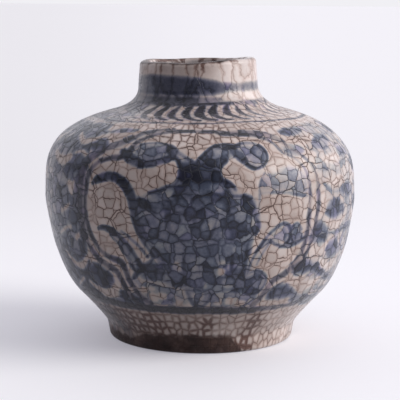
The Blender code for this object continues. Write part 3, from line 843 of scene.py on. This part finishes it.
def stained_foot(work):
    """How deep each place lies in the bare foot, how far iron stains the glaze, painted shade and glare."""
    climb = work.climb
    around = (work.angle + 180) % 360 - 180
    turn = np.radians(around)
    back = rise(np.abs(around), 100, 70)
    # The glaze ends on a wandering edge, and on the right it runs down to the table.
    edge = 4.9 + 0.7 * np.sin(2 * turn + 2.6) + 0.6 * np.sin(5 * turn + 1.0)
    edge -= 2.4 * fall(around, -30, 14) * rise(around, -100, 20)
    run_down = 6.5 * rise(around, 19, 12) * fall(around, 100, 20)
    kept = rise(around, 24, 20) * (1 - back)
    worn_lip = 1 - 1.7 * np.abs(climb - LIP_EDGE) - 1.6 * kept
    bare = np.maximum(edge - run_down - climb, worn_lip)
    work.fields["bare"] = np.clip(bare, -DEEPEST, DEEPEST)

    # Iron soaks the hip in patches, the neck under the lip, and the strip above the flower.
    high = rise(climb, 5, 2)
    lean = 1.05 - 0.45 * rise(around, -40, 50) - 0.54 * rise(around, 22, 22)
    lean += (0.6 - lean) * back
    lean += 1.4 * blot(around, 29, 4) + 2.5 * blot(around, -48, 10) * high
    lean += 0.9 * blot(around, 8, 14) * (climb < 4.5)
    lean -= 0.45 * blot(around, 17, 9) * high
    lean += 1.5 * (blot(around, -25, 2.6) + blot(around, 4.5, 2.4)) * high
    lean *= 1 - 0.95 * fall(around, -26, 12) * (1 - back) * fall(climb, 5.5, 1.5)
    foot = fall(climb, 16, 5) * lean
    # Painted glare: at the far left edge the rim is stained less and the top of the neck is whitened.
    left_edge_glare = fall(around, -42, 18)
    blots = 0.5 * (blot(around, -36, 6) + blot(around, 3, 9))
    rim = rise(climb, 90, 3) * ((0.50 * fall(around, 24, 18) - 0.46 * left_edge_glare) * (1 - back) + blots)
    lip = ring(work, 94.8, 1.5, 0.5) * (0.98 - 0.65 * rise(around, 26, 20) * (1 - back))
    # Painted shade: the inside of the neck is darkened as though stained.
    inside = 0.38 * (climb > 95.5)
    warm = 0.66 * blot(around, -2, 26) * ring(work, 67.5, 5, 3.5)
    work.fields["stain_and_shade"] = np.clip(np.max([foot, rim, lip, inside, warm], axis=0), 0, DARKEST)
    # Painted shade: a grey film of cobalt inside the neck.
    work.cobalt[:] = np.maximum(work.cobalt, 0.2 * (climb > 95.4))

    # Painted glare and highlight: the glaze is painted whiter at both sides and on the right of the neck.
    above_ring = rise(climb, 18, 6)
    painted_glare = [
        (0.7 + 0.3 * rise(climb, 66, 6)) * rise(around, 44, 22) * above_ring,
        rise(around, 10, 30) * (climb > 83),
        0.8 * fall(around, -58, 16) * above_ring,
        0.9 * left_edge_glare * (climb > 90.5),
    ]
    work.fields["white"] = np.max(painted_glare, axis=0) * (1 - back)


# Materials.


class Value:
    """An output of a node that takes part in sums as a number does."""

    def __init__(self, nodes, socket):
        self.nodes = nodes
        self.socket = socket

    def __add__(self, other):
        return self.nodes.math("ADD", self, other)

    def __sub__(self, other):
        return self.nodes.math("SUBTRACT", self, other)

    def __rsub__(self, other):
        return self.nodes.math("SUBTRACT", other, self)

    def __mul__(self, other):
        return self.nodes.math("MULTIPLY", self, other)

    def __truediv__(self, other):
        return self.nodes.math("DIVIDE", self, other)


class Nodes:
    """Adds and links the nodes of a material or of the world."""

    def __init__(self, tree):
        self.tree = tree

    def node(self, kind, output, inputs, **settings):
        """One output of a new node, whose inputs are given by name or by place."""
        made = self.tree.nodes.new(kind)
        for key, value in settings.items():
            setattr(made, key, value)
        self.feed(made, inputs)
        return Value(self, made.outputs[output])

    def feed(self, node, inputs):
        for key, value in inputs.items():
            socket = node.inputs[key]
            if isinstance(value, Value):
                self.tree.links.new(value.socket, socket)
            elif isinstance(value, tuple) and socket.type == "RGBA":
                socket.default_value = (*value, 1.0)
            else:
                socket.default_value = value

    def math(self, operation, first, second=0.0):
        return self.node("ShaderNodeMath", 0, {0: first, 1: second}, operation=operation)

    def split(self, value, kind="ShaderNodeSeparateXYZ"):
        """The three parts of a place or of a colour."""
        made = self.tree.nodes.new(kind)
        self.feed(made, {0: value})
        return [Value(self, output) for output in made.outputs]

    def fade(self, value, low, high, start=0.0, end=1.0):
        """A soft step of a value from one level to another."""
        inputs = {"Value": value, "From Min": low, "From Max": high, "To Min": start, "To Max": end}
        return self.node("ShaderNodeMapRange", "Result", inputs, interpolation_type="SMOOTHSTEP")

    def limited(self, value):
        return self.node("ShaderNodeClamp", 0, {"Value": value})

    def mix(self, share, first, second, blend="MIX"):
        inputs = {"Factor": share, 6: first, 7: second}
        return self.node("ShaderNodeMix", 2, inputs, data_type="RGBA", blend_type=blend)

    def tinted(self, colour, tint):
        return self.mix(1.0, colour, tint, "MULTIPLY")

    def ramp(self, value, stops):
        made = self.tree.nodes.new("ShaderNodeValToRGB")
        elements = made.color_ramp.elements
        while len(elements) < len(stops):
            elements.new(0.5)
        for element, (place, colour) in zip(elements, stops):
            element.position = place
            element.color = (*colour, 1.0)
        self.feed(made, {"Fac": value})
        return Value(self, made.outputs["Color"])

    def noise(self, place, size, detail=2.0, roughness=0.5, output="Fac"):
        """Noise whose features are about size millimetres wide."""
        inputs = {"Vector": place, "Scale": 1.0 / size, "Detail": detail, "Roughness": roughness}
        return self.node("ShaderNodeTexNoise", output, inputs)

    def attribute(self, name, output="Fac"):
        return self.node("ShaderNodeAttribute", output, {}, attribute_name=name)

    def shifted(self, vector, offset, amount):
        """A vector moved by an amount of another one."""
        inputs = {0: offset, 1: amount, 2: vector}
        return self.node("ShaderNodeVectorMath", 0, inputs, operation="MULTIPLY_ADD")

    def coordinates(self, output="Object"):
        return self.node("ShaderNodeTexCoord", output, {})

    def millimetres(self):
        """Object coordinates in millimetres."""
        inputs = {0: self.coordinates(), "Scale": 1 / MM}
        return self.node("ShaderNodeVectorMath", 0, inputs, operation="SCALE")

    def ray(self, kind):
        return self.node("ShaderNodeLightPath", kind, {})

    def seen(self):
        """One for light on its way to the camera, straight or by a glossy or a clear surface."""
        direct = self.math("MAXIMUM", self.ray("Is Camera Ray"), self.ray("Is Glossy Ray"))
        return self.math("MAXIMUM", direct, self.ray("Is Transmission Ray"))


class Finish(Nodes):
    """The nodes of one material."""

    def __init__(self, name):
        self.material = bpy.data.materials.new(name)
        self.material.use_nodes = True
        super().__init__(self.material.node_tree)

    def shade(self, inputs):
        """Sets or links inputs of the material's shader."""
        self.feed(self.tree.nodes["Principled BSDF"], inputs)

    def bump(self, relief, strength):
        inputs = {"Height": relief, "Strength": strength, "Distance": MM}
        self.shade({"Normal": self.node("ShaderNodeBump", "Normal", inputs)})


CRACK_HALF_WIDTH = 0.085
LONG_CRACKS = 0.38
SHORT_CRACKS = 0.92
# Sizes of cells, in millimetres, that part the foot from the body and the body from the neck.
FOOT_CELLS = (1.9, 2.2)
NECK_CELLS = (2.6, 3.0)


def crackle(finish, place):
    """The distance in millimetres to the nearest crack, two numbers for each cell and its size.

    Long cracks come first and shorter ones end on them, as in a real glaze. The small cells by the
    foot have no long cracks.
    """
    plan = finish.attribute("cells", "Vector")
    cell_size = finish.split(plan)[2]
    large = finish.fade(cell_size, *FOOT_CELLS)
    bent = finish.shifted(plan, finish.noise(place, 3.2, 2.5, 0.6, "Color"), large * 0.65 + 0.15)
    randomness = large * 0.12 + 0.66

    def cells(vector, scale, feature, output):
        inputs = {"Vector": vector, "Scale": scale, "Randomness": randomness}
        return finish.node("ShaderNodeTexVoronoi", output, inputs, voronoi_dimensions="2D", feature=feature)

    far = cells(bent, LONG_CRACKS, "DISTANCE_TO_EDGE", "Distance")
    inner = finish.shifted(bent, cells(bent, LONG_CRACKS, "F1", "Color"), large * 37.0)
    near = cells(inner, SHORT_CRACKS, "DISTANCE_TO_EDGE", "Distance")
    picks = finish.split(cells(inner, SHORT_CRACKS, "F1", "Color"), "ShaderNodeSeparateColor")
    far = far * (1 / LONG_CRACKS) + (large * -9.0 + 9.0)
    near = near * (1 / SHORT_CRACKS) + 0.012
    return finish.math("MINIMUM", far, near) * cell_size, picks[0], picks[1], cell_size


def glaze_finish():
    """Crackled glaze over cobalt: the mosaic, its stains, painted shade and glare, the brushwork and the
    bare foot.
    """
    finish = Finish("crackled_glaze")
    place = finish.millimetres()
    crack, pick, second_pick, cell_size = crackle(finish, place)
    cloud = finish.noise(place, 9.0, 3.0)
    patch = finish.noise(place, 2.6)
    grain = finish.noise(place, 0.6)
    # The white field holds painted glare and highlight, at both sides and on the right of the neck.
    white = finish.attribute("white")

    laid = finish.attribute("cobalt")
    uneven = finish.fade(cell_size, *NECK_CELLS, 1.25, 0.45)
    rag = (pick - 0.5) * uneven + (patch - 0.5) + (grain - 0.5)
    cobalt = rag * (laid * (1.0 - laid)) + laid
    inked = finish.fade(cobalt, 0.15, 0.60)
    halo = finish.fade(crack, 0.05, 0.75, 1.0, 0.0)
    lively = finish.fade(cell_size, *NECK_CELLS, 0.26, 0.12)
    cobalt = (halo * 0.15 + (pick - 0.6) * lively) * inked + cobalt

    pale = [(0.32, (0.59, 0.485, 0.45)), (0.5, (0.67, 0.565, 0.53)), (0.68, (0.74, 0.645, 0.615))]
    shades = [(0.0, (0.80, 0.79, 0.79)), (0.5, (0.95, 0.95, 0.95)), (1.0, (1.04, 1.04, 1.05))]
    ground = finish.tinted(finish.ramp(cloud, pale), finish.ramp(pick, shades))
    # Painted glare: the ground is whitened where the white field lies.
    ground = finish.mix(white, ground, finish.tinted(ground, (1.20, 1.25, 1.28)))
    blues = [
        (0.00, (0.58, 0.53, 0.52)),
        (0.20, (0.42, 0.395, 0.405)),
        (0.40, (0.255, 0.254, 0.302)),
        (0.55, (0.150, 0.160, 0.222)),
        (0.70, (0.081, 0.091, 0.140)),
        (0.85, (0.040, 0.046, 0.076)),
        (1.00, (0.018, 0.020, 0.033)),
    ]
    hues = [(0.0, (0.96, 1.02, 1.01)), (0.35, (1, 1, 1)), (0.75, (1, 1, 1.02)), (1.0, (1.04, 0.99, 1.15))]
    pigment = finish.tinted(finish.ramp(cobalt, blues), finish.ramp(second_pick, hues))
    pigment = finish.mix(finish.attribute("iron"), pigment, finish.tinted(pigment, (1.12, 0.89, 0.76)))
    share = finish.fade(cobalt, 0.03, 0.34)
    colour = finish.mix(share, ground, pigment)

    seep = finish.mix(share, (0.68, 0.55, 0.50), (0.78, 0.78, 0.81))
    colour = finish.mix(halo * 0.6, colour, finish.tinted(colour, seep))
    # This field holds iron staining and, inside the neck, painted shade.
    stain_and_shade = finish.attribute("stain_and_shade") * finish.fade(finish.noise(place, 4.0, 3.0), 0.30, 0.62, 0.45, 1.0)
    soaked = finish.limited(stain_and_shade * finish.fade(crack, 0.12, 0.75, 1.2, 0.24))
    colour = finish.mix(soaked, colour, finish.tinted(colour, (0.30, 0.215, 0.20)))

    weight = finish.noise(place, 6.0, 1.0)
    width = finish.fade(weight, 0.35, 0.65, 0.6, 1.4) * CRACK_HALF_WIDTH
    core = finish.fade(crack - width, 0.07, -0.04)
    strength = finish.fade(weight, 0.3, 0.6, 0.55, 0.90)
    strength *= finish.fade(cell_size, *NECK_CELLS, 1.0, 0.5)
    strength *= finish.fade(cell_size, *FOOT_CELLS, 0.7, 1.0)
    # Painted glare: the cracks are fainter where the white field lies.
    strength *= white * -0.3 + 1.0
    crack_colour = finish.mix(share, (0.07, 0.040, 0.034), (0.024, 0.025, 0.036))
    colour = finish.mix(core * strength, colour, crack_colour)

    bare = finish.fade((patch - 0.5) * 2.6 + finish.attribute("bare"), -0.9, 0.7)
    browns = [(0.32, (0.054, 0.033, 0.031)), (0.52, (0.130, 0.086, 0.082)), (0.74, (0.28, 0.205, 0.18))]
    clay = finish.ramp(finish.noise(place, 4.5, 4.0, 0.6), browns)
    clay = finish.mix(finish.limited(stain_and_shade), clay, finish.tinted(clay, (0.30, 0.235, 0.225)))
    gloss = finish.fade(patch, 0.25, 0.75, 0.24, 0.36) + core * 0.2 + bare * 0.35
    finish.shade(
        {
            "Base Color": finish.mix(bare, colour, clay),
            "Roughness": gloss,
            "IOR": 1.5,
            "Specular IOR Level": 0.32,
            "Sheen Weight": 0.55,
            "Sheen Roughness": 0.28,
            "Sheen Tint": (0.95, 0.95, 1.0),
        }
    )
    finish.bump(
        core * -0.05 + finish.fade(crack, 0.0, 0.8) * 0.03 + cloud * 0.12 + grain * bare * 0.10,
        0.7,
    )
    return finish.material


# How far apart the rings lie that the potter's fingers leave, in millimetres.
RING_SPACING = 2.6


def clay_finish():
    """Unglazed clay with fine rings from the wheel, iron specks and grog."""
    finish = Finish("inner_clay")
    place = finish.millimetres()
    across, deep, height = finish.split(place)
    flat = finish.node("ShaderNodeCombineXYZ", 0, {0: across, 1: deep})
    away = finish.node("ShaderNodeVectorMath", "Value", {0: flat}, operation="LENGTH")
    drift = finish.noise(place, 12.0) * 2.4 + (away + height)
    ring_wave = finish.math("SINE", drift * (2 * math.pi / RING_SPACING))
    cloud = finish.noise(place, 7.0, 4.0, 0.6)
    browns = [(0.32, (0.20, 0.13, 0.09)), (0.52, (0.33, 0.24, 0.18)), (0.72, (0.45, 0.35, 0.28))]
    colour = finish.ramp(ring_wave * 0.06 + cloud, browns)
    speck = finish.fade(finish.noise(place, 0.9), 0.64, 0.70)
    colour = finish.mix(speck * 0.75, colour, (0.03, 0.016, 0.012))
    finish.shade({"Base Color": colour, "Roughness": finish.fade(cloud, 0.3, 0.7, 0.66, 0.86)})
    finish.bump(finish.noise(place, 0.5, 3.0) * 0.10 + ring_wave * 0.05, 0.8)
    return finish.material


def floor_finish():
    """Pale paper with a little light of its own where it is seen, so that its shadow stays soft.

    Its own light is a little weaker far off to the left and stronger close by on the right: painted shade
    and painted light.
    """
    finish = Finish("pale_paper")
    seen = finish.seen()
    across, deep, _ = finish.split(finish.coordinates())
    fan = across / (deep + CAMERA_DISTANCE)
    near = finish.fade(deep, 0.05, 0.35, 1.0, 0.0)
    # Painted shade far off on the left, and painted light close by on the right, in the paper's own light.
    left = finish.fade(fan, -0.14, 0.05, -0.28, 0.0) * (1.0 - near)
    right = finish.fade(fan, -0.02, 0.10, 0.0, 0.17) * near
    finish.shade(
        {
            "Base Color": finish.mix(seen, (0.40, 0.40, 0.415), (0.68, 0.675, 0.675)),
            "Roughness": 0.9,
            "Specular IOR Level": 0.1,
            "Emission Color": (0.275, 0.268, 0.305),
            "Emission Strength": seen * (left + right + 1.0),
        }
    )
    return finish.material


# Pieces.


def glaze_band(name, low, high, step, cuts, material):
    """A stretch of the glaze coat between two places up the wall, with its back and ends."""
    face = on_wall(stretch(low, high, step))
    back = on_wall(stretch(high, low, GLAZE_BACK_STEP), GLAZE_THICKNESS)
    piece = turned(name, np.concatenate([face, back]), material, cuts=cuts, paint=painted)
    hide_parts("outer_glaze")


def glaze_coat(material):
    """The coat in three stretches: up to the widest circle, over the shoulder, and the neck."""
    foot_edge = climb_of(BARE_FOOT_HEIGHT)
    belly = climb_of(BELLY_HEIGHT)
    root = climb_of(NECK_ROOT_HEIGHT)
    glaze_band("glaze_lower", foot_edge, belly, BODY_STEP, BODY_CUTS, material)
    glaze_band("glaze_shoulder", belly, root, BODY_STEP, BODY_CUTS, material)
    glaze_band("glaze_neck", root, WALL_CLIMB[-1], NECK_STEP, NECK_CUTS, material)


# How softly the foot ring's standing edge is turned, and how far it ends under the glaze.
EDGE_SOFTNESS = 0.1
EDGE_SHORT = 0.02
# The bowl starts this far above the waist. Its floor curves in over a reach to a flat middle.
BOWL_START = 0.6
FLOOR_REACH = 5.0
FLAT_SHARE = 1 / 2.6
# The neck's clay ends this much sooner than the wall.
NECK_SHORT = 0.01


def foot_wall(height, depth=0.0):
    """A (radius, height) point of the foot's outside, set inwards by a depth."""
    return FOOT_BASE_RADIUS + (WAIST_RADIUS - FOOT_BASE_RADIUS) * height / FOOT_HEIGHT - depth, height


def foot_ring(material):
    """The turned foot ring: flush with the glaze where it is bare, rounded on its standing edge."""
    base = foot_wall(0.0)[0]
    inner_base = foot_wall(0.0, CLAY_DEPTH)[0] - FOOT_RING_WIDTH
    edge = BARE_FOOT_HEIGHT - EDGE_SHORT
    rounded = FOOT_ROUNDING * 1.2
    turn = (foot_wall(FOOT_ROUNDING)[0], rounded)
    profile = list(bezier([(base - 2 * FOOT_ROUNDING, 0), (base - EDGE_SOFTNESS, 0), turn], 6))
    profile += [foot_wall(rounded), foot_wall(edge), foot_wall(edge, CLAY_DEPTH)]
    profile += [foot_wall(FOOT_HEIGHT, CLAY_DEPTH)]
    profile += [(inner_base - FOOT_RING_BATTER, FOOT_HEIGHT), (inner_base - EDGE_SOFTNESS, FOOT_ROUNDING)]
    profile += [(inner_base + EDGE_SOFTNESS, 2 * EDGE_SOFTNESS), (inner_base + FOOT_ROUNDING, 0)]
    profile = resampled(profile + [profile[0]], FOOT_STEP)[:-1]
    piece = turned("foot_ring_clay", profile, material, cuts=NECK_CUTS, paint=painted)
    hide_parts("foot_ring")


def lower_body(material):
    """The thrown bowl under the glaze, with its domed base and its rounded floor."""
    waist = climb_of(FOOT_HEIGHT) + BOWL_START
    belly = climb_of(BELLY_HEIGHT)
    hip = climb_of(HIP_HEIGHT)
    recess_edge = WAIST_RADIUS - BODY_WALL - FOOT_RING_WIDTH
    underside = [(0, RECESS_HEIGHT + RECESS_DOME), (recess_edge, RECESS_HEIGHT)]
    underside += [(foot_wall(FOOT_HEIGHT, CLAY_DEPTH)[0], RECESS_HEIGHT)]
    outside = on_wall(stretch(waist, belly, CLAY_STEP), CLAY_DEPTH)
    inside = on_wall(stretch(belly, hip, CLAY_STEP), BODY_WALL)
    corner = (inside[-1][0] - FLOOR_REACH, FLOOR_HEIGHT)
    flat = (inside[-1][0] * FLAT_SHARE, FLOOR_HEIGHT)
    floor_curve = bezier([inside[-1], corner, flat], 12)[1:]
    profile = resampled(underside, CLAY_STEP) + [*outside, *inside, *floor_curve, flat, (0, FLOOR_HEIGHT)]
    piece = turned("lower_body_clay", profile, material, spokes=CLAY_SPOKES)
    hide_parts("lower_body")


def upper_body(material):
    """The thrown dome under the glaze, open at the top for the neck."""
    belly = climb_of(BELLY_HEIGHT) + CLEARANCE
    edge = climb_of(SHOULDER_HEIGHT)
    outside = on_wall(stretch(belly, edge, CLAY_STEP), CLAY_DEPTH)
    inside = on_wall(stretch(edge, belly, CLAY_STEP), BODY_WALL)
    piece = turned("upper_body_clay", [*outside, *inside], material, spokes=CLAY_SPOKES)
    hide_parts("upper_body")


def neck(material):
    """The collar under the glaze, flared inside towards the shoulder."""
    edge = climb_of(SHOULDER_HEIGHT) + CLEARANCE
    last = WALL_CLIMB[-1] - NECK_SHORT
    outside = on_wall(stretch(edge, last, CLAY_STEP / 2), CLAY_DEPTH)
    foot = on_wall(edge, BODY_WALL)
    bore = LIP_RADIUS - NECK_WALL + CLAY_DEPTH
    corner_height = foot[1] + (foot[0] - bore) * math.tan(SHOULDER_PITCH)
    flare = bezier([(bore, LIP_HEIGHT - GLAZE_INSIDE_NECK), (bore, corner_height), foot], 14)
    piece = turned("neck_clay", [*outside, *flare[1:], foot], material, spokes=CLAY_SPOKES)
    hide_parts("neck")


# Studio.

CAMERA_DISTANCE = 390.0 * MM
CAMERA_HEIGHT = 91.4 * MM
CAMERA_SIDE = 0.2 * MM
CAMERA_PITCH_DOWN = math.radians(7.91)
CAMERA_ROLL = math.radians(0.5)
CAMERA_LENS = 129.1
SENSOR = 36.0
# The nearest and the farthest that the camera sees, in metres.
CLIP = (0.01, 100.0)
KEY_TURN = math.radians(80)
KEY_RISE = math.radians(24)
KEY_ENERGY = 2.75
KEY_WIDTH = math.radians(40)
# The soft light grows with this lean of its direction, from this level.
LIGHT_LEAN = (0.10, 0.36, 0.56)
LIGHT_LEVEL = 0.20
BACKDROP_GAIN = 1.6
FLOOR_RADIUS = 30.0


def camera():
    data = bpy.data.cameras.new("camera")
    data.sensor_width = SENSOR
    data.lens = CAMERA_LENS
    data.clip_start, data.clip_end = CLIP
    eye = add_to_scene("camera", data)
    level = Matrix.Rotation(math.pi / 2 - CAMERA_PITCH_DOWN, 4, "X")
    roll = Matrix.Rotation(CAMERA_ROLL, 4, "Z")
    eye.matrix_world = Matrix.Translation((CAMERA_SIDE, -CAMERA_DISTANCE, CAMERA_HEIGHT)) @ level @ roll
    bpy.context.scene.camera = eye


def key_lamp():
    """A broad low lamp far off to the right. It shines evenly over the whole floor."""
    data = bpy.data.lights.new("key", "SUN")
    data.energy = KEY_ENERGY
    data.angle = KEY_WIDTH
    data.color = (1.0, 0.98, 0.955)
    made = add_to_scene("key", data)
    side, front = math.sin(KEY_TURN), -math.cos(KEY_TURN)
    level = math.cos(KEY_RISE)
    towards = Vector((side * level, front * level, math.sin(KEY_RISE)))
    made.rotation_mode = "QUATERNION"
    made.rotation_quaternion = (-towards).to_track_quat("-Z", "Y")


def world():
    """Soft light, strongest from above and behind, and a plain pale backdrop."""
    made = bpy.data.worlds.new("studio")
    made.use_nodes = True
    made.node_tree.nodes.clear()
    nodes = Nodes(made.node_tree)
    inputs = {0: nodes.coordinates("Generated"), 1: LIGHT_LEAN}
    lean = nodes.node("ShaderNodeVectorMath", "Value", inputs, operation="DOT_PRODUCT")
    lit = nodes.math("MAXIMUM", lean + LIGHT_LEVEL, 0.0)
    light = nodes.node("ShaderNodeBackground", 0, {"Color": (0.965, 0.96, 1.03), "Strength": lit})
    inputs = {0: lit, 1: BACKDROP_GAIN, 2: nodes.ray("Is Camera Ray")}
    shown = nodes.node("ShaderNodeMath", 0, inputs, operation="MULTIPLY_ADD", use_clamp=True)
    inputs = {"Color": (0.880, 0.872, 0.905), "Strength": shown}
    backdrop = nodes.node("ShaderNodeBackground", 0, inputs)
    mixed = nodes.node("ShaderNodeMixShader", 0, {0: nodes.seen(), 1: light, 2: backdrop})
    nodes.feed(made.node_tree.nodes.new("ShaderNodeOutputWorld"), {"Surface": mixed})
    bpy.context.scene.world = made


def floor():
    shape = bmesh.new()
    bmesh.ops.create_circle(shape, cap_ends=True, segments=96, radius=FLOOR_RADIUS)
    made = add_to_scene("floor", mesh_of("floor", shape, floor_finish()))


def main():
    glaze = glaze_finish()
    inner_clay = clay_finish()
    glaze_coat(glaze)
    foot_ring(glaze)
    lower_body(inner_clay)
    upper_body(inner_clay)
    neck(inner_clay)
    camera()
    world()
    floor()
    key_lamp()
    bpy.context.scene.view_settings.view_transform = "Standard"


main()
